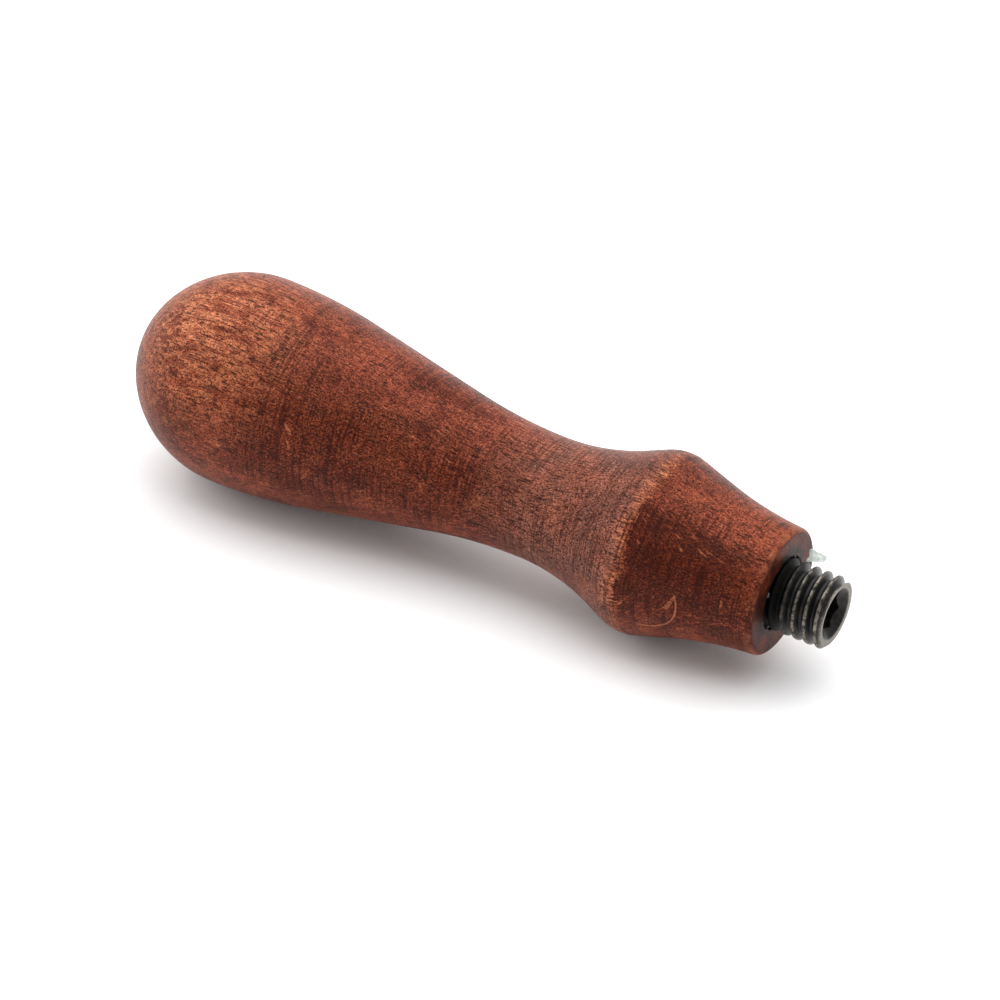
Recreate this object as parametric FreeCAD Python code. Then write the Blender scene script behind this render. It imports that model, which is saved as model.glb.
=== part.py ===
import FreeCAD, Part
import math
import os

# Screw-on handle for interchangeable mandrels, in millimetres.
# +X runs along the handle's axis, from the butt to the tip of the stud, and +Z is up as it lies on a bench.
# The origin is the centre of the front face, where the mandrel seats.

# handle: one turning, from the domed butt to the flat front face
handle_length = 97.0
dome_length = 16.0  # butt to the widest section of the bulb
dome_fullness = 0.66  # 0.5 is a parabola, 0.707 an ellipse
bulb_diameter = 28.9
bulb_round = 74.0  # radius along the handle where the bulb starts to taper
waist_setback = 35.2  # front face to the thinnest section
waist_diameter = 16.7
waist_rear_round = 71.0  # radius along the handle, on the bulb's side of the waist
waist_front_round = 31.0  # the same, on the ridge's side
ridge_setback = 18.35  # front face to the crest of the finger ridge
ridge_diameter = 24.6
ridge_round = 5.8
nose_round = 49.0  # radius along the handle of the hollow between the ridge and the front face
nose_slope = 2.7  # degrees of taper left at the front face
front_diameter = 17.1
rim_round = 0.8

# set screw: 3/8"-16 UNC x 1", socket end outwards
screw_diameter = 9.525
screw_length = 25.4
thread_pitch = 1.5875
stud_projection = 7.5
tip_chamfer = 0.45
socket_across_flats = 4.7625
socket_depth = 4.8
socket_mouth_diameter = 7.0
socket_turn = 52.0  # degrees about the axis from a corner on top
drill_point_angle = 118.0
cup_diameter = 5.1
cup_angle = 118.0

# bond between the two
glue_gap = 0.2  # radial, between the thread's crests and the hole
glue_setback = 1.0  # front face to the level of the adhesive
hole_bottom_gap = 0.6  # below the cup point

screw_radius = screw_diameter / 2
pitch_radius = screw_radius - 3 * math.sqrt(3) / 16 * thread_pitch  # 3/8 of the sharp V's height below the crests
hole_radius = screw_radius + glue_gap
buried_length = screw_length - stud_projection
hole_depth = buried_length + hole_bottom_gap
front_radius = front_diameter / 2

X_AXIS = FreeCAD.Vector(1, 0, 0)
FLUSH = 1.0  # how far a cutting tool runs past the face that it opens


def at(x, r):
    return FreeCAD.Vector(x, 0, r)


def disc_stack(stations):
    """Solid of revolution about the X axis through (x, radius) stations, closed onto the axis at both ends."""
    ends = [at(stations[0][0], 0)] if stations[0][1] > 0 else []
    points = ends + [at(x, r) for x, r in stations]
    if stations[-1][1] > 0:
        points.append(at(stations[-1][0], 0))
    outline = Part.makePolygon(points + [points[0]])
    return Part.Face(outline).revolve(at(0, 0), X_AXIS, 360)


def cone_height(radius, point_angle):
    """Height of a cone with this base radius and this full angle at its point."""
    return radius / math.tan(math.radians(point_angle / 2))


def arc(start, end, centre):
    """The short arc from start to end on the circle around centre."""
    bisector = (start - centre) + (end - centre)
    middle = centre + bisector.normalize() * (start - centre).Length
    return Part.Arc(start, middle, end).toShape()


def flow(crest, crest_round, end, end_round, slope=0.0):
    """Convex arc, straight and hollow arc, each tangent to the next, from a crest down to end.

    slope is the taper left at the end, in degrees. Both radii shrink alike where the stretch is too short for them.
    """
    side = 1 if end.x > crest.x else -1
    up = at(side * math.sin(math.radians(slope)), math.cos(math.radians(slope)))
    step = end - crest
    spread = up * end_round + at(0, crest_round)
    room = -2 * step.dot(spread)
    if room > 0:
        share = min(1.0, 0.95 * step.Length**2 / room)
        crest_round, end_round = crest_round * share, end_round * share
    crest_centre = crest - at(0, crest_round)
    end_centre = end + up * end_round
    between = end_centre - crest_centre
    lean = math.atan2(between.z, between.x) + side * math.acos((crest_round + end_round) / between.Length)
    normal = at(math.cos(lean), math.sin(lean))
    leave = crest_centre + normal * crest_round
    join = end_centre - normal * end_round
    return [arc(crest, leave, crest_centre), Part.LineSegment(leave, join).toShape(), arc(join, end, end_centre)]


def dome(pole, crest):
    """Conic quarter from the pole on the axis to the bulb's crest, square to both."""
    curve = Part.BSplineCurve()
    corner = at(pole.x, crest.z)
    curve.buildFromPolesMultsKnots([pole, corner, crest], [3, 3], [0, 1], False, 2, [1, dome_fullness, 1])
    return curve.toShape()


def make_blank():
    """The turned outside of the handle, with its front rim rounded."""
    pole = at(-handle_length, 0)
    bulb = at(dome_length - handle_length, bulb_diameter / 2)
    waist = at(-waist_setback, waist_diameter / 2)
    ridge = at(-ridge_setback, ridge_diameter / 2)
    rim = at(0, front_radius)
    outline = [dome(pole, bulb)]
    outline += flow(bulb, bulb_round, waist, waist_rear_round)
    outline += flow(ridge, ridge_round, waist, waist_front_round)
    outline += flow(ridge, ridge_round, rim, nose_round, nose_slope)
    outline.append(Part.LineSegment(rim, at(0, 0)).toShape())
    outline.append(Part.LineSegment(at(0, 0), pole).toShape())
    section = Part.Face(Part.Wire(Part.__sortEdges__(outline)))
    blank = section.revolve(at(0, 0), X_AXIS, 360)
    front_rim = [e for e in blank.Edges if e.BoundBox.XMin > -1e-3 and e.BoundBox.ZMax > front_radius - 1e-3]
    wall = front_radius - hole_radius
    return blank.makeFillet(min(rim_round, 0.8 * wall), front_rim)


def make_hole(front):
    """The blind hole's space, from the station named front down to the drill's point."""
    point = -hole_depth - cone_height(hole_radius, drill_point_angle)
    return disc_stack([(point, 0), (-hole_depth, hole_radius), (front, hole_radius)])


def make_handle():
    return make_blank().cut(make_hole(FLUSH))


def make_socket():
    """The hexagon socket's space: mouth chamfer, hexagon and the drilled cone at its bottom."""
    corner_radius = socket_across_flats / math.sqrt(3)
    floor = stud_projection - socket_depth
    corners = []
    for k in range(6):
        turn = math.radians(60 * k + socket_turn)
        corners.append(FreeCAD.Vector(floor, corner_radius * math.sin(turn), corner_radius * math.cos(turn)))
    hexagon = Part.Face(Part.makePolygon(corners + [corners[0]])).extrude(X_AXIS * (socket_depth + FLUSH))
    flat_radius = socket_across_flats / 2
    drilled = disc_stack([(floor - cone_height(flat_radius, drill_point_angle), 0), (floor, flat_radius)])
    mouth_radius = socket_mouth_diameter / 2
    run = mouth_radius - flat_radius
    mouth = disc_stack(
        [
            (stud_projection - run, flat_radius),
            (stud_projection, mouth_radius),
            (stud_projection + FLUSH, mouth_radius),
        ]
    )
    return hexagon.fuse([drilled, mouth])


def make_set_screw():
    """Full diameter where the thread stands out of the wood, pitch diameter where adhesive fills its grooves."""
    cup_radius = cup_diameter / 2
    body = disc_stack(
        [
            (-buried_length, cup_radius),
            (-buried_length + pitch_radius - cup_radius, pitch_radius),
            (0, pitch_radius),
            (0, screw_radius),
            (stud_projection - tip_chamfer, screw_radius),
            (stud_projection, screw_radius - tip_chamfer),
        ]
    )
    cup = disc_stack(
        [
            (-buried_length - FLUSH, cup_radius),
            (-buried_length, cup_radius),
            (-buried_length + cone_height(cup_radius, cup_angle), 0),
        ]
    )
    return body.cut(cup).cut(make_socket())


def make_adhesive(screw):
    """What is left of the hole around and below the set screw, up to the adhesive's level."""
    return make_hole(-glue_setback).cut(screw)


def main():
    screw = make_set_screw()
    parts = {"handle": make_handle(), "set_screw": screw, "adhesive": make_adhesive(screw)}
    os.makedirs("parts", exist_ok=True)
    for node, shape in parts.items():
        shape.exportStep(f"parts/{node}.step")
        box = shape.BoundBox
        print(node, "valid", shape.isValid(), "solids", len(shape.Solids), "mm3", round(shape.Volume, 1),
              "x", round(box.XMin, 2), round(box.XMax, 2), "z", round(box.ZMin, 2), round(box.ZMax, 2))


main()
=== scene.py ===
import math
import random
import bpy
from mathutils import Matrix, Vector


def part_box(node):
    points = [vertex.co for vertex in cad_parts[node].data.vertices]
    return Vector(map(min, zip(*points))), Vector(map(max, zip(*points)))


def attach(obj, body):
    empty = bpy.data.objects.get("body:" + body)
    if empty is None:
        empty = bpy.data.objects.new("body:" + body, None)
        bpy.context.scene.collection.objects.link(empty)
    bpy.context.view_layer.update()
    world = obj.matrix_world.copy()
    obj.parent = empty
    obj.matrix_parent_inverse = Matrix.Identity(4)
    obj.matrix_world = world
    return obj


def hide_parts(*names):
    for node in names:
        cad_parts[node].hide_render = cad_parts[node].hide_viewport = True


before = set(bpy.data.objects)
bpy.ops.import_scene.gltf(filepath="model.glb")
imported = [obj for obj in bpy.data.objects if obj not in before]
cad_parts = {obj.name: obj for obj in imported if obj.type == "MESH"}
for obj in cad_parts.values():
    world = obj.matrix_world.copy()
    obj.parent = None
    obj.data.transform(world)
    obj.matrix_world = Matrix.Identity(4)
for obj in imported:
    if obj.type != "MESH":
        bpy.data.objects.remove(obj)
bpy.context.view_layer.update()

from types import SimpleNamespace

import bpy
from mathutils import Matrix, Vector

mm = 0.001
fullTurn = 2 * math.pi
weldDistance = 0.002 * mm
cutTolerance = 0.001 * mm

handleLow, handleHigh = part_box("handle")
screwLow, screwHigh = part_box("set_screw")
glueLow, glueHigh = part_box("adhesive")
print("frame loaded:", ", ".join(sorted(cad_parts)))


# small helpers for working by hand

def clearSelection():
    if bpy.context.mode != "OBJECT":
        bpy.ops.object.mode_set(mode="OBJECT")
    bpy.ops.object.select_all(action="DESELECT")


def pickOnly(piece):
    clearSelection()
    piece.select_set(True)
    bpy.context.view_layer.objects.active = piece


def nameNew(name):
    piece = bpy.context.object
    piece.name = name
    piece.data.name = name
    return piece


def settle(piece, creaseDegrees):
    # its place goes into the mesh, and only edges sharper than this stay crisp
    pickOnly(piece)
    bpy.ops.object.transform_apply(location=True, rotation=True, scale=True)
    bpy.ops.object.shade_smooth_by_angle(angle=math.radians(creaseDegrees))
    return piece


def applyModifier(piece, kind, **settings):
    pickOnly(piece)
    modifier = piece.modifiers.new(kind.lower(), kind)
    for key, value in settings.items():
        setattr(modifier, key, value)
    bpy.ops.object.modifier_apply(modifier=modifier.name)


def carve(piece, tool, operation="DIFFERENCE"):
    applyModifier(piece, "BOOLEAN", object=tool, operation=operation, solver="EXACT")
    bpy.data.objects.remove(tool)


def drawOutline(name, outline):
    # one point, drawn out along the outline in the plane of X and Z
    clearSelection()
    bpy.ops.mesh.primitive_plane_add(size=mm)
    piece = nameNew(name)
    bpy.ops.object.mode_set(mode="EDIT")
    bpy.ops.mesh.merge(type="CENTER")
    bpy.ops.transform.translate(value=(outline[0].x, 0, outline[0].y))
    for here, there in zip(outline, outline[1:]):
        step = there - here
        bpy.ops.mesh.extrude_region_move(TRANSFORM_OT_translate={"value": (step.x, 0, step.y)})
    return piece


def turnOnLathe(name, outline, sides):
    piece = drawOutline(name, outline)
    bpy.ops.mesh.select_all(action="SELECT")
    bpy.ops.mesh.spin(steps=sides, angle=fullTurn, center=(0, 0, 0), axis=(1, 0, 0))
    bpy.ops.mesh.select_all(action="SELECT")
    bpy.ops.mesh.remove_doubles(threshold=weldDistance)
    bpy.ops.mesh.normals_make_consistent(inside=False)
    bpy.ops.object.mode_set(mode="OBJECT")
    return piece


# an outline is a list of (x, radius)

def sweep(centre, start, end, spacing):
    # the short arc around centre, from start to end
    spokeIn, spokeOut = start - centre, end - centre
    angle = -spokeIn.angle_signed(spokeOut)
    steps = max(2, round(abs(angle) * spokeIn.length / spacing))
    return [centre + Matrix.Rotation(angle * k / steps, 2) @ spokeIn for k in range(steps + 1)]


def flow(crest, crestRound, end, endRound, spacing, taper=0.0):
    # rounded crest, straight, hollow: each tangent to the next
    side = 1 if end.x > crest.x else -1
    up = Vector((side * math.sin(taper), math.cos(taper)))
    crestCentre = crest - Vector((0, crestRound))
    endCentre = end + up * endRound
    link = endCentre - crestCentre
    lean = math.atan2(link.y, link.x) + side * math.acos((crestRound + endRound) / link.length)
    normal = Vector((math.cos(lean), math.sin(lean)))
    leave = crestCentre + normal * crestRound
    join = endCentre - normal * endRound
    return sweep(crestCentre, crest, leave, spacing) + sweep(endCentre, join, end, spacing)


def dome(pole, crest, fullness, steps):
    corner = Vector((pole.x, crest.y))
    points = []
    for k in range(steps + 1):
        t = k / steps
        a, b, c = (1 - t) ** 2, 2 * fullness * t * (1 - t), t * t
        points.append((pole * a + corner * b + crest * c) / (a + b + c))
    return points


def thinOut(points, least):
    kept = [points[0]]
    for point in points[1:]:
        if (point - kept[-1]).length > least:
            kept.append(point)
    kept[-1] = points[-1]
    return kept


wood = {
    "length": -handleLow.x,
    "bulbRadius": handleHigh.z,
    "domeLength": 16.0 * mm,
    "domeFullness": 0.66,
    "bulbRound": 74.0 * mm,
    "waistSetback": 35.2 * mm,
    "waistRadius": 8.35 * mm,
    "waistRearRound": 71.0 * mm,
    "waistFrontRound": 31.0 * mm,
    "ridgeSetback": 18.35 * mm,
    "ridgeRadius": 12.3 * mm,
    "ridgeRound": 5.8 * mm,
    "noseRound": 49.0 * mm,
    "noseTaper": math.radians(2.7),
    "frontRadius": 8.55 * mm,
    "rimRound": 0.8 * mm,
    "holeRadius": glueHigh.z,
    "holeLip": 0.12 * mm,
    "holeDepth": 18.5 * mm,
    "unevenness": 0.05 * mm,
    "unevenSize": 14 * mm,
    "spacing": 0.55 * mm,  # between the outline's points on the long curves
    "rimSpacing": 0.1 * mm,
    "leastSpacing": 0.04 * mm,
    "domeSteps": 44,
    "faceSteps": 5,
    "holeSteps": 12,
    "sides": 256,
    "creaseDegrees": 40,
}


def woodOutline():
    pole = Vector((-wood["length"], 0))
    bulb = Vector((wood["domeLength"] - wood["length"], wood["bulbRadius"]))
    waist = Vector((-wood["waistSetback"], wood["waistRadius"]))
    ridge = Vector((-wood["ridgeSetback"], wood["ridgeRadius"]))
    front = Vector((0, wood["frontRadius"]))
    line = dome(pole, bulb, wood["domeFullness"], wood["domeSteps"])
    line += flow(bulb, wood["bulbRound"], waist, wood["waistRearRound"], wood["spacing"])
    line += flow(ridge, wood["ridgeRound"], waist, wood["waistFrontRound"], wood["spacing"])[::-1]
    line += flow(ridge, wood["ridgeRound"], front, wood["noseRound"], wood["spacing"], wood["noseTaper"])

    # rim: the outline stops where the round begins
    rimStart = -wood["rimRound"] * (1 - math.sin(wood["noseTaper"]))
    line = [p for p in line if p.x < rimStart]
    tangent = Vector((rimStart, wood["frontRadius"] - rimStart * math.tan(wood["noseTaper"])))
    normal = Vector((math.sin(wood["noseTaper"]), math.cos(wood["noseTaper"])))
    rimCentre = tangent - normal * wood["rimRound"]
    line += sweep(rimCentre, tangent, rimCentre + Vector((wood["rimRound"], 0)), wood["rimSpacing"])

    # front face, the lip of the hole and the hole
    outer, mouth = rimCentre.y, wood["holeRadius"] + wood["holeLip"]
    for k in range(1, wood["faceSteps"] + 1):
        line.append(Vector((0, outer + (mouth - outer) * k / wood["faceSteps"])))
    line.append(Vector((-wood["holeLip"], wood["holeRadius"])))
    for k in range(1, wood["holeSteps"] + 1):
        line.append(Vector((-wood["holeDepth"] * k / wood["holeSteps"], wood["holeRadius"])))
    line.append(Vector((glueLow.x, 0)))
    return thinOut(line, wood["leastSpacing"])


def makeHandle():
    piece = turnOnLathe("turned_handle", woodOutline(), wood["sides"])
    uneven = bpy.data.textures.new("unevenTurning", "CLOUDS")
    uneven.noise_scale = wood["unevenSize"]
    uneven.noise_depth = 1
    applyModifier(
        piece, "DISPLACE", texture=uneven, texture_coords="LOCAL", strength=wood["unevenness"],
        mid_level=1.0,  # inwards only
    )
    return settle(piece, wood["creaseDegrees"])


thread = {
    "radius": screwHigh.z,
    "pitch": 1.5875 * mm,
    "crestFlat": 0.24 * mm,
    "rootFlat": 0.36 * mm,
    "depth": 0.84 * mm,
    "edgeRound": 0.05 * mm,
    "crestAtTop": 0.147 * mm,  # along the axis, where a crest passes over the top
    "stepsPerTurn": 72,
    "tipChamfer": 0.45 * mm,
    "cupRadius": 2.55 * mm,
    "cupDepth": 1.53 * mm,
    "cupEdge": 0.1 * mm,
    "acrossFlats": 4.7625 * mm,
    "socketDepth": 4.8 * mm,
    "mouthRadius": 3.5 * mm,
    "socketTurn": math.radians(52.0),
    "pointAngle": math.radians(118.0),
    "sides": 96,
    "creaseDegrees": 30,
}


def makeThreadedRod():
    half, root = thread["pitch"] / 2, thread["radius"] - thread["depth"]
    turnsBefore = math.ceil((thread["crestAtTop"] - screwLow.x) / thread["pitch"]) + 1
    turnsAfter = math.ceil((screwHigh.x - thread["crestAtTop"]) / thread["pitch"]) + 1
    start = thread["crestAtTop"] - turnsBefore * thread["pitch"]
    groove = [
        Vector((start, thread["radius"])),
        Vector((start + thread["crestFlat"] / 2, thread["radius"])),
        Vector((start + half - thread["rootFlat"] / 2, root)),
        Vector((start + half + thread["rootFlat"] / 2, root)),
        Vector((start + thread["pitch"] - thread["crestFlat"] / 2, thread["radius"])),
        Vector((start + thread["pitch"], thread["radius"])),
    ]
    rod = drawOutline("set_screw_threaded", groove)

    # the four corners of the groove are eased, as rolled threads are
    bpy.ops.mesh.select_mode(type="VERT")
    bpy.ops.object.mode_set(mode="OBJECT")
    low, high = start + thread["edgeRound"], start + thread["pitch"] - thread["edgeRound"]
    for vertex in rod.data.vertices:
        vertex.select = low < vertex.co.x < high
    bpy.ops.object.mode_set(mode="EDIT")
    bpy.ops.mesh.bevel(affect="VERTICES", offset=thread["edgeRound"], segments=2)
    bpy.ops.object.mode_set(mode="OBJECT")
    applyModifier(
        rod, "SCREW", axis="X", angle=fullTurn, screw_offset=thread["pitch"],
        iterations=turnsBefore + turnsAfter,
        steps=thread["stepsPerTurn"], render_steps=thread["stepsPerTurn"],
        use_merge_vertices=True, merge_threshold=weldDistance,
    )
    pickOnly(rod)
    bpy.ops.object.mode_set(mode="EDIT")
    bpy.ops.mesh.select_all(action="SELECT")
    bpy.ops.mesh.remove_doubles(threshold=weldDistance)
    for x, normal in ((screwLow.x, (-1, 0, 0)), (screwHigh.x, (1, 0, 0))):
        bpy.ops.mesh.select_all(action="SELECT")
        bpy.ops.mesh.bisect(
            plane_co=(x, 0, 0), plane_no=normal, use_fill=True, clear_outer=True, threshold=cutTolerance,
        )
    bpy.ops.mesh.select_all(action="SELECT")
    bpy.ops.mesh.normals_make_consistent(inside=False)
    bpy.ops.object.mode_set(mode="OBJECT")
    return rod


def makeSetScrew():
    rod = makeThreadedRod()
    clear = 0.3 * mm  # how far a tool stands outside what it cuts
    slack = 0.01 * mm  # keeps the drill's edge off the socket's flats

    # both ends chamfered down to the tip ring and to the cup's edge
    reach = thread["radius"] + clear
    body = [
        Vector((screwLow.x, 0)),
        Vector((screwLow.x, thread["cupRadius"])),
        Vector((screwLow.x + reach - thread["cupRadius"], reach)),
        Vector((screwHigh.x - thread["tipChamfer"] - clear, reach)),
        Vector((screwHigh.x, thread["radius"] - thread["tipChamfer"])),
        Vector((screwHigh.x, 0)),
    ]
    carve(rod, turnOnLathe("endShaper", body, thread["sides"]), "INTERSECT")

    # socket: the countersunk mouth, the hexagon and the drilled bottom
    flatRadius = thread["acrossFlats"] / 2
    floor = screwHigh.x - thread["socketDepth"]
    drillHeight = flatRadius / math.tan(thread["pointAngle"] / 2)
    hexagonDepth = thread["socketDepth"] + clear
    clearSelection()
    bpy.ops.mesh.primitive_cylinder_add(
        vertices=6, radius=thread["acrossFlats"] / math.sqrt(3), depth=hexagonDepth,
        location=(floor + hexagonDepth / 2, 0, 0), rotation=(0, math.pi / 2, 0),
    )
    hexagon = nameNew("hexagonTool")
    bpy.ops.object.transform_apply(location=True, rotation=True, scale=True)
    hexagon.data.transform(Matrix.Rotation(-thread["socketTurn"] - math.pi / 2, 4, "X"))
    carve(rod, hexagon)
    mouthDrop = thread["mouthRadius"] - flatRadius
    mouth = [
        Vector((screwHigh.x - mouthDrop, 0)),
        Vector((screwHigh.x - mouthDrop, flatRadius)),
        Vector((screwHigh.x + clear, thread["mouthRadius"] + clear)),
        Vector((screwHigh.x + clear, 0)),
    ]
    carve(rod, turnOnLathe("mouthTool", mouth, thread["sides"]))
    drill = [
        Vector((floor - drillHeight, 0)),
        Vector((floor + clear / 3, flatRadius - slack)),
        Vector((floor + clear, 0)),
    ]
    carve(rod, turnOnLathe("drillTool", drill, thread["sides"]))
    cupRadius = thread["cupRadius"] - thread["cupEdge"]
    cup = [
        Vector((screwLow.x - clear, 0)),
        Vector((screwLow.x - clear, cupRadius)),
        Vector((screwLow.x, cupRadius)),
        Vector((screwLow.x + thread["cupDepth"], 0)),
    ]
    carve(rod, turnOnLathe("cupTool", cup, thread["sides"]))
    return settle(rod, thread["creaseDegrees"])


glue = {
    "radius": glueHigh.z,
    "level": glueHigh.x,
    "climbAtWall": 0.35 * mm,
    "climbAtScrew": 0.12 * mm,
    "sag": 0.12 * mm,
    "shoulder": 18.5 * mm,
    "waviness": 0.35 * mm,
    "waveSize": 2.2 * mm,
    "waveDepth": 0.1 * mm,  # how far below the sagging level the waves still reach
    "levelSteps": 8,
    "creaseDegrees": 40,
}


def makeAdhesive(screw):
    inner = thread["radius"] - thread["depth"]
    gap = glue["radius"] - inner
    top = []
    for k in range(glue["levelSteps"] + 1):
        across = k / glue["levelSteps"]
        climb = glue["climbAtWall"] * (1 - across) ** 3 + glue["climbAtScrew"] * across ** 3
        sag = glue["sag"] * math.sin(math.pi * across)
        top.append(Vector((glue["level"] + climb - sag, glue["radius"] - gap * across)))
    outline = [Vector((glueLow.x, 0)), Vector((-glue["shoulder"], glue["radius"]))] + top
    outline.append(Vector((glue["level"] + glue["climbAtScrew"], 0)))
    fill = turnOnLathe("cured_adhesive", outline, wood["sides"] // 2)

    # an uneven level, from glue that set as it ran
    wave = bpy.data.textures.new("unevenGlue", "CLOUDS")
    wave.noise_scale = glue["waveSize"]
    group = fill.vertex_groups.new(name="level")
    lowest = glue["level"] - glue["sag"] - glue["waveDepth"]
    group.add([v.index for v in fill.data.vertices if v.co.x > lowest], 1.0, "REPLACE")
    applyModifier(
        fill, "DISPLACE", texture=wave, texture_coords="LOCAL", direction="X", strength=glue["waviness"],
        mid_level=0.5, vertex_group="level",
    )
    copy = screw.copy()
    copy.data = screw.data.copy()
    bpy.context.collection.objects.link(copy)
    carve(fill, copy)
    return settle(fill, glue["creaseDegrees"])


crumbs = {
    "seed": 11,
    "count": 13,
    "outwards": (-0.12, 0.02),  # mm from the hole's wall
    "size": (0.12, 0.26),  # mm
    "depth": (-0.45, -0.05),  # mm from the front face
    "along": (0.7, 1.0),  # these three are shares of the size
    "around": (1.0, 1.7),
    "thick": (0.6, 0.9),
    "lumpSize": 0.2 * mm,
    "lumpHeight": 0.08 * mm,
    "creaseDegrees": 60,
}


def makeBeads():
    # squeezed-out crumbs of glue, set around the lip of the hole
    rng = random.Random(crumbs["seed"])
    pieces = []
    for k in range(crumbs["count"]):
        angle = fullTurn * (k + rng.uniform(-0.4, 0.4)) / crumbs["count"]
        radius = glue["radius"] + rng.uniform(*crumbs["outwards"]) * mm
        size = rng.uniform(*crumbs["size"]) * mm
        depth = rng.uniform(*crumbs["depth"]) * mm
        place = (depth, -radius * math.sin(angle), radius * math.cos(angle))
        clearSelection()
        bpy.ops.mesh.primitive_ico_sphere_add(subdivisions=3, radius=size, location=place)
        crumb = bpy.context.object
        crumb.scale = [rng.uniform(*crumbs[way]) for way in ("along", "around", "thick")]
        crumb.rotation_euler = (angle, 0, 0)
        pieces.append(crumb)
    clearSelection()
    for crumb in pieces:
        crumb.select_set(True)
    bpy.context.view_layer.objects.active = pieces[0]
    bpy.ops.object.join()
    beads = nameNew("adhesive_beads")
    lump = bpy.data.textures.new("lumps", "CLOUDS")
    lump.noise_scale = crumbs["lumpSize"]
    applyModifier(
        beads, "DISPLACE", texture=lump, texture_coords="GLOBAL", strength=crumbs["lumpHeight"],
        mid_level=0.5,
    )
    return settle(beads, crumbs["creaseDegrees"])


flake = {
    "x": 2.5 * mm,
    "radius": 5.8 * mm,
    "turn": math.radians(43),  # about the axis, from the top towards the back
    "length": 2.2 * mm,
    "height": 1.75 * mm,
    "thickness": 0.12 * mm,
    "edgeRound": 0.03 * mm,
    "narrowing": 0.6,  # towards its far end
    "flare": 0.12,
    "coarseEdge": 0.05,
    "fineEdge": 0.035,
    "slant": 0.16,
    "wave": 0.10,  # mm, as is the next
    "curl": 0.35,
    "creaseDegrees": 50,
}


def makeFlake():
    # a sliver of clear glue that set against the thread and lifted off
    clearSelection()
    bpy.ops.mesh.primitive_grid_add(x_subdivisions=14, y_subdivisions=10, size=1)
    piece = nameNew("adhesive_flake")
    for vertex in piece.data.vertices:
        along, up = vertex.co.x, vertex.co.y
        ragged = flake["coarseEdge"] * math.sin(9 * up + 2.0)
        ragged += flake["fineEdge"] * math.sin(19 * along + 1.0)
        narrow = 1 - flake["narrowing"] * (along + 0.5)
        vertex.co.x = (along * (1 + flake["flare"] * up) + ragged) * flake["length"]
        vertex.co.y = (flake["wave"] * math.sin(4.5 * along) - up ** 2 * flake["curl"] * abs(along)) * mm
        vertex.co.z = (up * narrow + flake["slant"] * along + 0.4 * ragged) * flake["height"]
    applyModifier(piece, "SOLIDIFY", thickness=flake["thickness"], offset=0.0)
    applyModifier(piece, "BEVEL", width=flake["edgeRound"], segments=2)
    applyModifier(piece, "SUBSURF", levels=1, render_levels=1)
    out = Matrix.Translation((flake["x"], 0, flake["radius"]))
    piece.data.transform(Matrix.Rotation(-flake["turn"], 4, "X") @ out)
    return settle(piece, flake["creaseDegrees"])


# materials: each helper adds its node to the tree that its inputs belong to

def startMaterial(name):
    material = bpy.data.materials.new(name)
    material.use_nodes = True
    nodes, links = material.node_tree.nodes, material.node_tree.links
    nodes.clear()
    output = nodes.new("ShaderNodeOutputMaterial")
    shader = nodes.new("ShaderNodeBsdfPrincipled")
    links.new(shader.outputs["BSDF"], output.inputs["Surface"])
    place = nodes.new("ShaderNodeTexCoord").outputs["Object"]
    return material, shader, place


def isSocket(value):
    return isinstance(value, bpy.types.NodeSocket)


def newNode(kind, *inputs):
    tree = next(value.id_data for value in inputs if isSocket(value))
    return tree.nodes.new(kind)


def plug(socket, value):
    if isSocket(value):
        socket.id_data.links.new(value, socket)
    else:
        socket.default_value = value


def math2(operation, a, b=0.0, clamp=False):
    node = newNode("ShaderNodeMath", a, b)
    node.operation = operation
    node.use_clamp = clamp
    plug(node.inputs[0], a)
    plug(node.inputs[1], b)
    return node.outputs[0]


def times(first, *others):
    product = first
    for value in others:
        product = math2("MULTIPLY", product, value)
    return product


def jitter(mark, amount):
    # a pattern's value, as a shift of up to half the amount either way
    return times(math2("SUBTRACT", mark, 0.5), amount)


def noise(vector, detail, roughness, distortion=0.0):
    node = newNode("ShaderNodeTexNoise", vector)
    plug(node.inputs["Vector"], vector)
    node.inputs["Scale"].default_value = 1.0
    node.inputs["Detail"].default_value = detail
    node.inputs["Roughness"].default_value = roughness
    node.inputs["Distortion"].default_value = distortion
    return node.outputs["Fac"]


def placed(vector, size, turn, shift):
    # size is how long one mark is along X, Y and Z
    turned = newNode("ShaderNodeMapping", vector)
    plug(turned.inputs["Vector"], vector)
    turned.inputs["Rotation"].default_value = (turn, 0, 0)
    scaled = newNode("ShaderNodeMapping", vector)
    plug(scaled.inputs["Vector"], turned.outputs[0])
    scaled.inputs["Scale"].default_value = [1 / s for s in size]
    scaled.inputs["Location"].default_value = shift
    return scaled.outputs[0]


def markNoise(place, mark, turn=0.0):
    size = [length * mm for length in mark["size"]]
    vector = placed(place, size, turn, mark.get("shift", (0, 0, 0)))
    return noise(vector, mark["detail"], mark["roughness"], mark.get("distortion", 0.0))


def between(value, low, high):
    # from 0 at low to 1 at high, eased at both ends
    node = newNode("ShaderNodeMapRange", value)
    node.interpolation_type = "SMOOTHSTEP"
    plug(node.inputs["Value"], value)
    plug(node.inputs["From Min"], low)
    plug(node.inputs["From Max"], high)
    return node.outputs["Result"]


def spread(value, low, high):
    # from 0 to 1 onto low to high
    node = newNode("ShaderNodeMapRange", value)
    plug(node.inputs["Value"], value)
    plug(node.inputs["To Min"], low)
    plug(node.inputs["To Max"], high)
    return node.outputs["Result"]


def blend(factor, a, b, mode="MIX"):
    node = newNode("ShaderNodeMix", factor, a, b)
    node.data_type = "RGBA"
    node.blend_type = mode
    plug(node.inputs["Factor"], factor)
    plug(node.inputs["A"], a if isSocket(a) else (*a, 1))
    plug(node.inputs["B"], b if isSocket(b) else (*b, 1))
    return node.outputs["Result"]


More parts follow.
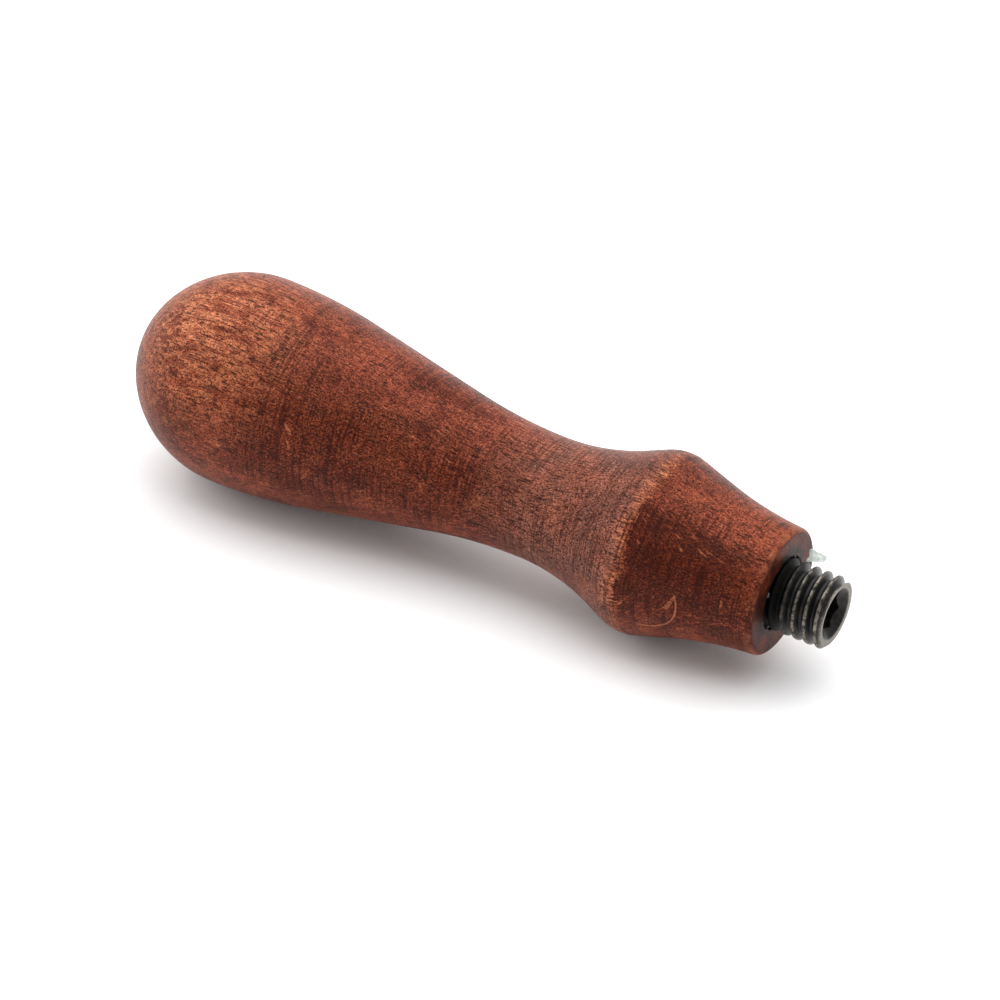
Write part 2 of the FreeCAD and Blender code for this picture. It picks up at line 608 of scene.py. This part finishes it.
def tint(colour, over, mask, share):
    # this share of the colour over, where mask is 1
    return blend(math2("MULTIPLY", mask, share), colour, over)


def bump(height, distance, strength, under=None):
    node = newNode("ShaderNodeBump", height)
    node.inputs["Distance"].default_value = distance
    node.inputs["Strength"].default_value = strength
    plug(node.inputs["Height"], height)
    if under is not None:
        plug(node.inputs["Normal"], under)
    return node.outputs["Normal"]


def coordinates(place):
    split = newNode("ShaderNodeSeparateXYZ", place)
    plug(split.inputs[0], place)
    x, y, z = split.outputs
    fromAxis = math2("SQRT", math2("ADD", times(y, y), times(z, z)))
    return x, y, z, fromAxis


def apart(vector, point):
    node = newNode("ShaderNodeVectorMath", vector)
    node.operation = "DISTANCE"
    plug(node.inputs[0], vector)
    node.inputs[1].default_value = [length * mm for length in point]
    return node.outputs["Value"]


beech = {
    "deep": (0.026, 0.0024, 0.0009),
    # the colour of painted shade, on one side of the nose and the bulb
    "shadeColour": (0.074, 0.0100, 0.0034),
    # the grey-pink of a painted sheen
    "paintedSheen": (0.42, 0.23, 0.175),
    "body": (0.128, 0.0185, 0.0070),
    "warm": (0.36, 0.078, 0.036),
    "bare": (0.80, 0.27, 0.125),
    "smoke": (0.022, 0.0080, 0.0055),
    "holeGlueAndShade": (0.012, 0.008, 0.007),
    "grime": (0.010, 0.006, 0.005),
    "specular": 0.07,
    "rayTurn": math.radians(12),  # the tree's radius, about the axis from +Z
    "shadedSide": math.radians(-62),  # about the axis, from the top towards the back
    "marks": {  # the size of one mark in mm, along, across and through the grain
        "pores": {"size": (1.1, 0.12, 0.17), "detail": 3, "roughness": 0.6},
        "dashes": {"size": (2.6, 0.24, 0.30), "shift": (2, 8, 5), "detail": 3, "roughness": 0.6},
        "mottle": {"size": (0.26, 0.165, 0.21), "shift": (3, 5, 7), "detail": 4, "roughness": 0.72},
        "rays": {"size": (2.6, 0.30, 3.6), "shift": (1, 2, 3), "detail": 2, "roughness": 0.45},
        "blotch": {"size": (9, 5, 6), "shift": (4, 1, 2), "detail": 4, "roughness": 0.6},
        "cloud": {"size": (3.2, 2.0, 2.4), "shift": (8, 3, 1), "detail": 4, "roughness": 0.65},
        "growthRings": {"size": (60, 14, 1.5), "shift": (2, 2, 9), "detail": 2, "roughness": 0.5},
        "patch": {"size": (9, 4.5, 4.5), "shift": (7, 7, 4), "detail": 3, "roughness": 0.6},
        "streaks": {"size": (5, 0.55, 0.55), "shift": (6, 6, 1), "detail": 3, "roughness": 0.6},
    },
    "latheMarks": {"size": (0.36, 9, 9), "shift": (5, 0, 0), "detail": 1, "roughness": 0.5},
    "spots": {  # in mm; the scratch is part of a ring around its centre
        "buttWorn": {"centre": (-84, -6, 12.5), "reach": 20},
        "noseTopLight": {"centre": (-7, -1, 11), "reach": 11},
        "bulbTopLight": {"centre": (-74, 2, 14), "reach": 26},
        "scratch": {"centre": (-14.2, -9.8, -0.2), "reach": 4.4},
    },
    "reach": {  # where each effect begins and where it is full
        "crestRear": (-0.9 * mm, 0.5 * mm),  # these four from the ridge's crest
        "crestFront": (1.5 * mm, 1.1 * mm),
        "noseShadeEdge": (1.2 * mm, 1.6 * mm),
        "sheenFront": (1.2 * mm, -0.6 * mm),
        "sheenRear": (-45 * mm, -32 * mm),  # these from the front face, unless noted
        "noseShade": (4.0 * mm, -6.0 * mm),
        "bulbShadeRear": (-88 * mm, -66 * mm),
        "bulbShadeFront": (-29 * mm, -39 * mm),
        "latheRings": (-86 * mm, -68 * mm),
        "endGrain": (-0.9 * mm, -0.1 * mm),
        "scratchRear": (-15.4 * mm, -13.8 * mm),
        "scratchTop": (2.2 * mm, 0.6 * mm),  # above the axis
        "scratchWidth": (0.16 * mm, 0.04 * mm),  # from its middle line
        "rimRadius": (8.0 * mm, 8.3 * mm),  # from the axis, as the other radii are
        "rimDepth": (-1.1 * mm, -0.5 * mm),
        "faceDepth": (-0.12 * mm, -0.02 * mm),
        "holeRadius": (5.10 * mm, 5.02 * mm),
        "holeFront": (0.02 * mm, -0.06 * mm),
        "holeRear": (-30 * mm, -25 * mm),
        "grimeRadius": (6.9 * mm, 5.2 * mm),
        "grimeDepth": (-0.5 * mm, -0.05 * mm),
    },
}


def within(value, name):
    return between(value, *beech["reach"][name])


def spot(place, name):
    area = beech["spots"][name]
    return between(apart(place, area["centre"]), area["reach"] * mm, 0.0)


def wornStain(at, marks):
    # just in front of the ridge's crest, and on the upper side of the butt
    crest = times(within(at.fromCrest, "crestRear"), within(at.fromCrest, "crestFront"))
    crest = times(crest, 0.78, between(marks.cloud, 0.36, 0.58))
    butt = times(spot(at.place, "buttWorn"), between(marks.cloud, 0.32, 0.56))
    return times(math2("ADD", crest, butt, clamp=True), between(marks.streaks, 0.34, 0.60))


def paintedSideShade(at, marks):
    # painted shade: darker on the side of the nose away from the key light, with a sharp edge at the ridge,
    # and less on that side of bulb and waist
    side = times(at.y, math.sin(beech["shadedSide"]))
    side = math2("ADD", side, times(at.z, math.cos(beech["shadedSide"])))
    side = math2("ADD", math2("DIVIDE", side, at.fromAxis), jitter(marks.streaks, 0.5))
    nose = times(between(side, 0.76, 0.90), within(at.fromCrest, "noseShadeEdge"), within(at.x, "noseShade"))
    nose = math2("MULTIPLY", nose, spread(marks.blotch, 0.45, 1.35), clamp=True)
    bulb = times(between(side, 0.66, 0.98), within(at.x, "bulbShadeRear"), within(at.x, "bulbShadeFront"))
    bulb = math2("MULTIPLY", bulb, spread(marks.blotch, 0.05, 0.85), clamp=True)
    return nose, bulb


def stainColour(at, marks, noseShade, bulbShade):
    # painted light: the tops of the nose and the bulb made lighter and warmer
    paintedTopLight = math2("MAXIMUM", spot(at.place, "noseTopLight"), spot(at.place, "bulbTopLight"))
    paintedTopLight = times(paintedTopLight, between(marks.cloud, 0.28, 0.56))
    colour = blend(between(marks.blotch, 0.36, 0.62), beech["body"], beech["warm"])
    colour = blend(spread(marks.growthRings, 0.0, 0.5), colour, beech["body"])
    colour = tint(colour, beech["warm"], paintedTopLight, 0.85)
    # painted shade on the side away from the key light
    colour = blend(math2("MAXIMUM", times(noseShade, 0.92), bulbShade), colour, beech["shadeColour"])
    colour = tint(colour, beech["bare"], wornStain(at, marks), 0.9)
    colour = tint(colour, beech["smoke"], between(marks.cloud, 0.50, 0.66), 0.45)
    # painted sheen: a grey-pink veil over the waist and the rear of the ridge, in patches
    dustAndSheen = times(within(at.x, "sheenRear"), within(at.fromCrest, "sheenFront"))
    return tint(colour, beech["paintedSheen"], dustAndSheen, spread(marks.patch, 0.0, 0.46))


def grainColour(colour, marks, noseShade):
    # fine light and dark mottling, ray flecks, pores and dashes of stain along the grain
    light = blend(0.5, colour, beech["bare"], "SCREEN")
    lightShare = math2("SUBTRACT", 0.36, times(noseShade, 0.20))
    colour = tint(colour, light, between(marks.mottle, 0.53, 0.60), lightShare)
    colour = tint(colour, beech["deep"], between(marks.mottle, 0.50, 0.41), 0.86)
    colour = tint(colour, beech["bare"], between(marks.rays, 0.68, 0.73), 0.28)
    colour = tint(colour, beech["deep"], between(marks.rays, 0.42, 0.32), 0.30)
    colour = tint(colour, beech["smoke"], between(marks.pores, 0.45, 0.38), 0.80)
    return tint(colour, beech["deep"], between(marks.dashes, 0.43, 0.36), 0.80)


def frontColour(colour, at, marks):
    # the end grain drank more stain
    colour = tint(colour, beech["deep"], within(at.x, "endGrain"), 0.45)

    # one curved scratch on the nose
    fromCentre = apart(at.place, beech["spots"]["scratch"]["centre"])
    offLine = math2("ABSOLUTE", math2("SUBTRACT", fromCentre, beech["spots"]["scratch"]["reach"] * mm))
    scratch = times(within(offLine, "scratchWidth"), within(at.z, "scratchTop"))
    colour = tint(colour, beech["bare"], times(scratch, within(at.x, "scratchRear")), 0.35)

    # a painted highlight along the rim's round, and grime has gathered on the face
    rim = times(within(at.fromAxis, "rimRadius"), within(at.x, "rimDepth"))
    colour = tint(colour, beech["bare"], times(rim, between(marks.cloud, 0.40, 0.60)), 0.20)
    face = times(within(at.x, "faceDepth"), between(marks.cloud, 0.46, 0.60))
    colour = tint(colour, beech["smoke"], face, 0.75)

    # inside the hole: bare wood blackened by glue and darkened further as painted shade in the recess, and
    # grime around it
    holeGlueAndShade = times(within(at.fromAxis, "holeRadius"), within(at.x, "holeFront"), within(at.x, "holeRear"))
    colour = blend(holeGlueAndShade, colour, beech["holeGlueAndShade"])
    grime = times(within(at.fromAxis, "grimeRadius"), within(at.x, "grimeDepth"))
    return tint(colour, beech["grime"], times(grime, between(marks.cloud, 0.36, 0.54)), 0.9)


def stainedBeech():
    material, shader, place = startMaterial("stainedBeech")
    marks = SimpleNamespace()
    for name, mark in beech["marks"].items():
        setattr(marks, name, markNoise(place, mark, beech["rayTurn"]))
    latheRings = markNoise(place, beech["latheMarks"])

    x, y, z, fromAxis = coordinates(place)
    wander = math2("ADD", jitter(marks.patch, 3.5 * mm), jitter(marks.streaks, 3.2 * mm))
    fromCrest = math2("ADD", math2("ADD", x, wood["ridgeSetback"]), wander)
    at = SimpleNamespace(place=place, x=x, y=y, z=z, fromAxis=fromAxis, fromCrest=fromCrest)

    noseShade, bulbShade = paintedSideShade(at, marks)
    colour = stainColour(at, marks, noseShade, bulbShade)
    colour = grainColour(colour, marks, noseShade)

    # fine rings left by the lathe and the abrasive
    ringMarks = times(between(latheRings, 0.52, 0.38), between(marks.patch, 0.36, 0.58))
    colour = tint(colour, beech["deep"], times(ringMarks, within(x, "latheRings")), 0.55)
    plug(shader.inputs["Base Color"], frontColour(colour, at, marks))

    satin = times(between(marks.pores, 0.44, 0.33), 0.2)
    plug(shader.inputs["Roughness"], math2("ADD", spread(marks.mottle, 0.20, 0.44), satin))
    shader.inputs["Specular IOR Level"].default_value = beech["specular"]

    grain = bump(between(marks.pores, 0.34, 0.48), 0.04 * mm, 0.9)
    fine = bump(marks.mottle, 0.09 * mm, 0.8, grain)
    plug(shader.inputs["Normal"], bump(latheRings, 0.012 * mm, 0.6, fine))
    return material


steel = {
    "oxide": (0.012, 0.012, 0.0125),
    "brown": (0.035, 0.027, 0.021),
    "rubbed": (0.20, 0.175, 0.145),
    "bright": (0.42, 0.38, 0.32),
    "baseShade": (0.004, 0.004, 0.004),
    "patches": {"size": (0.9, 0.9, 0.9), "detail": 4, "roughness": 0.65},
    "speck": {"size": (0.16, 0.16, 0.16), "detail": 3, "roughness": 0.7},
    "crestDepth": 0.30 * mm,
    "crestSkin": 0.08 * mm,  # the outermost part of a crest, worn all over
    "tipDepth": 0.30 * mm,
    "tipSkin": 0.02 * mm,
    "tipRadius": (3.3 * mm, 3.6 * mm),
    "wornFrom": (0.6 * mm, 5.0 * mm),  # along the axis: begins, full
    "baseShadeFrom": (3.0 * mm, 0.6 * mm),
}


def blackOxideSteel():
    material, shader, place = startMaterial("blackOxideSteel")
    patches = markNoise(place, steel["patches"])
    speck = markNoise(place, steel["speck"])
    x, y, z, fromAxis = coordinates(place)

    # rubbed bare where a mandrel turns on it: the crests and the ring at the tip
    radius, end = thread["radius"], screwHigh.x
    crest = between(fromAxis, radius - steel["crestDepth"], radius - steel["crestSkin"])
    crest = times(crest, between(patches, 0.36, 0.62), between(x, *steel["wornFrom"]))
    tip = between(x, end - steel["tipDepth"], end - steel["tipSkin"])
    tip = times(tip, between(fromAxis, *steel["tipRadius"]), spread(patches, 0.35, 1.0))
    rubbed = math2("MAXIMUM", crest, tip)
    rubbed = math2("MULTIPLY", rubbed, between(speck, 0.30, 0.52), clamp=True)

    # painted shade: darker and matt at the base, next to the wood and the glue
    shadedBase = between(x, *steel["baseShadeFrom"])

    colour = blend(between(patches, 0.45, 0.68), steel["oxide"], steel["brown"])
    colour = blend(rubbed, colour, steel["rubbed"])
    colour = tint(colour, steel["bright"], rubbed, between(speck, 0.52, 0.70))
    plug(shader.inputs["Base Color"], tint(colour, steel["baseShade"], shadedBase, 0.8))
    plug(shader.inputs["Metallic"], spread(rubbed, 0.75, 0.95))
    plug(shader.inputs["Roughness"], math2("ADD", spread(speck, 0.20, 0.46), times(shadedBase, 0.25)))
    plug(shader.inputs["Specular IOR Level"], spread(shadedBase, 0.45, 0.10))
    plug(shader.inputs["Normal"], bump(speck, 0.02 * mm, 0.7, bump(patches, 0.03 * mm, 0.5)))
    return material


resin = {
    "dark": (0.010, 0.014, 0.012),
    "pale": (0.045, 0.070, 0.055),
    "swirl": {"size": (1.2, 1.2, 1.2), "detail": 3, "roughness": 0.6, "distortion": 0.8},
    "dustAndSheen": {"size": (0.12, 0.12, 0.12), "detail": 2, "roughness": 0.6},
}


def curedAdhesive():
    material, shader, place = startMaterial("curedAdhesive")
    swirl = markNoise(place, resin["swirl"])
    dustAndSheen = markNoise(place, resin["dustAndSheen"])
    plug(shader.inputs["Base Color"], blend(between(swirl, 0.40, 0.66), resin["dark"], resin["pale"]))
    plug(shader.inputs["Roughness"], spread(dustAndSheen, 0.08, 0.34))
    shader.inputs["Specular IOR Level"].default_value = 0.6
    plug(shader.inputs["Normal"], bump(dustAndSheen, 0.012 * mm, 0.6, bump(swirl, 0.10 * mm, 0.5)))
    return material


clear = {
    "milky": (0.74, 0.84, 0.77),
    "bright": (0.92, 0.96, 0.93),
    "haze": {"size": (0.5, 0.5, 0.5), "detail": 3, "roughness": 0.6},
    "transmission": 0.4,
    "ior": 1.5,
}


def clearGlue():
    material, shader, place = startMaterial("clearGlue")
    haze = markNoise(place, clear["haze"])
    plug(shader.inputs["Base Color"], blend(between(haze, 0.35, 0.65), clear["milky"], clear["bright"]))
    plug(shader.inputs["Roughness"], spread(haze, 0.12, 0.42))
    shader.inputs["Transmission Weight"].default_value = clear["transmission"]
    shader.inputs["IOR"].default_value = clear["ior"]
    plug(shader.inputs["Normal"], bump(haze, 0.05 * mm, 0.6))
    return material


paper = {
    "shaded": (0.90, 0.90, 0.90),
    "plain": (0.93, 0.93, 0.93),
    "tooth": {"size": (2, 2, 2), "detail": 2, "roughness": 0.5},
    "roughness": 0.9,
    "specular": 0.1,
}


def paperWhite():
    material, shader, place = startMaterial("paperWhite")
    tooth = markNoise(place, paper["tooth"])
    plug(shader.inputs["Base Color"], blend(tooth, paper["shaded"], paper["plain"]))
    shader.inputs["Roughness"].default_value = paper["roughness"]
    shader.inputs["Specular IOR Level"].default_value = paper["specular"]
    return material


def finishPiece(piece, material, node=None):
    piece.data.materials.clear()
    piece.data.materials.append(material)
    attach(piece, "root")
    if node:
        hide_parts(node)
    print("made", piece.name, len(piece.data.vertices), "points")


beechFinish = stainedBeech()
steelFinish = blackOxideSteel()
glueFinish = curedAdhesive()

finishPiece(makeHandle(), beechFinish, "handle")
setScrew = makeSetScrew()
finishPiece(setScrew, steelFinish, "set_screw")
finishPiece(makeAdhesive(setScrew), glueFinish, "adhesive")
finishPiece(makeBeads(), glueFinish)
finishPiece(makeFlake(), clearGlue())


def restPlane():
    # the handle rests on its bulb and its ridge
    bulbCentre = Vector((wood["domeLength"] - wood["length"], wood["bulbRound"] - wood["bulbRadius"]))
    ridgeCentre = Vector((-wood["ridgeSetback"], wood["ridgeRound"] - wood["ridgeRadius"]))
    span = bulbCentre - ridgeCentre
    lean = math.atan2(span.y, span.x) - math.acos((wood["bulbRound"] - wood["ridgeRound"]) / span.length)
    normal = Vector((math.cos(lean), math.sin(lean)))
    drop = normal.dot(ridgeCentre) - wood["ridgeRound"]
    return Vector((normal.x, 0, normal.y)), drop


floorNormal, floorDrop = restPlane()
floorTurn = floorNormal.to_track_quat("Z", "Y").to_euler()
floorSize = 3.0
clearSelection()
bpy.ops.mesh.primitive_plane_add(size=floorSize, location=floorNormal * floorDrop, rotation=floorTurn)
floor = nameNew("floor")
floor.data.materials.append(paperWhite())


studio = {
    "world": 0.55,
    "key": {"place": (-0.05, 0.34, 0.85), "aim": (-0.05, 0.03, 0), "size": (2.0, 1.6), "power": 19.5},
    "left": {"place": (-0.85, -0.15, 0.55), "aim": (-0.05, 0, 0), "size": (0.8, 0.8), "power": 4.5},
}


def lookFrom(place, aim, up=(0, 0, 1)):
    back = (Vector(place) - Vector(aim)).normalized()
    right = Vector(up).cross(back).normalized()
    above = back.cross(right)
    return Matrix((right, above, back)).transposed().to_euler()


def addSoftbox(name, settings):
    clearSelection()
    turn = lookFrom(settings["place"], settings["aim"])
    bpy.ops.object.light_add(type="AREA", location=settings["place"], rotation=turn)
    lamp = bpy.context.object
    lamp.name = name
    lamp.data.shape = "RECTANGLE"
    lamp.data.size, lamp.data.size_y = settings["size"]
    lamp.data.energy = settings["power"]


addSoftbox("keySoftbox", studio["key"])
addSoftbox("leftSoftbox", studio["left"])

world = bpy.data.worlds.new("whiteStudio")
world.use_nodes = True
background = world.node_tree.nodes["Background"]
background.inputs["Color"].default_value = (1, 1, 1, 1)
background.inputs["Strength"].default_value = studio["world"]
bpy.context.scene.world = world
bpy.context.scene.view_settings.view_transform = "Standard"

view = {
    "place": Vector((0.1638, -0.3502, 0.3109)),
    "direction": Vector((-0.4002, 0.6822, -0.6119)),
    "lens": 141.9,
    "sensorWidth": 36,
    "clipStart": 0.01,
}
viewTurn = lookFrom(view["place"], view["place"] + view["direction"], floorNormal)
clearSelection()
bpy.ops.object.camera_add(location=view["place"], rotation=viewTurn)
camera = bpy.context.object
camera.data.lens = view["lens"]
camera.data.sensor_width = view["sensorWidth"]
camera.data.clip_start = view["clipStart"]
bpy.context.scene.camera = camera
print("lights and camera set")
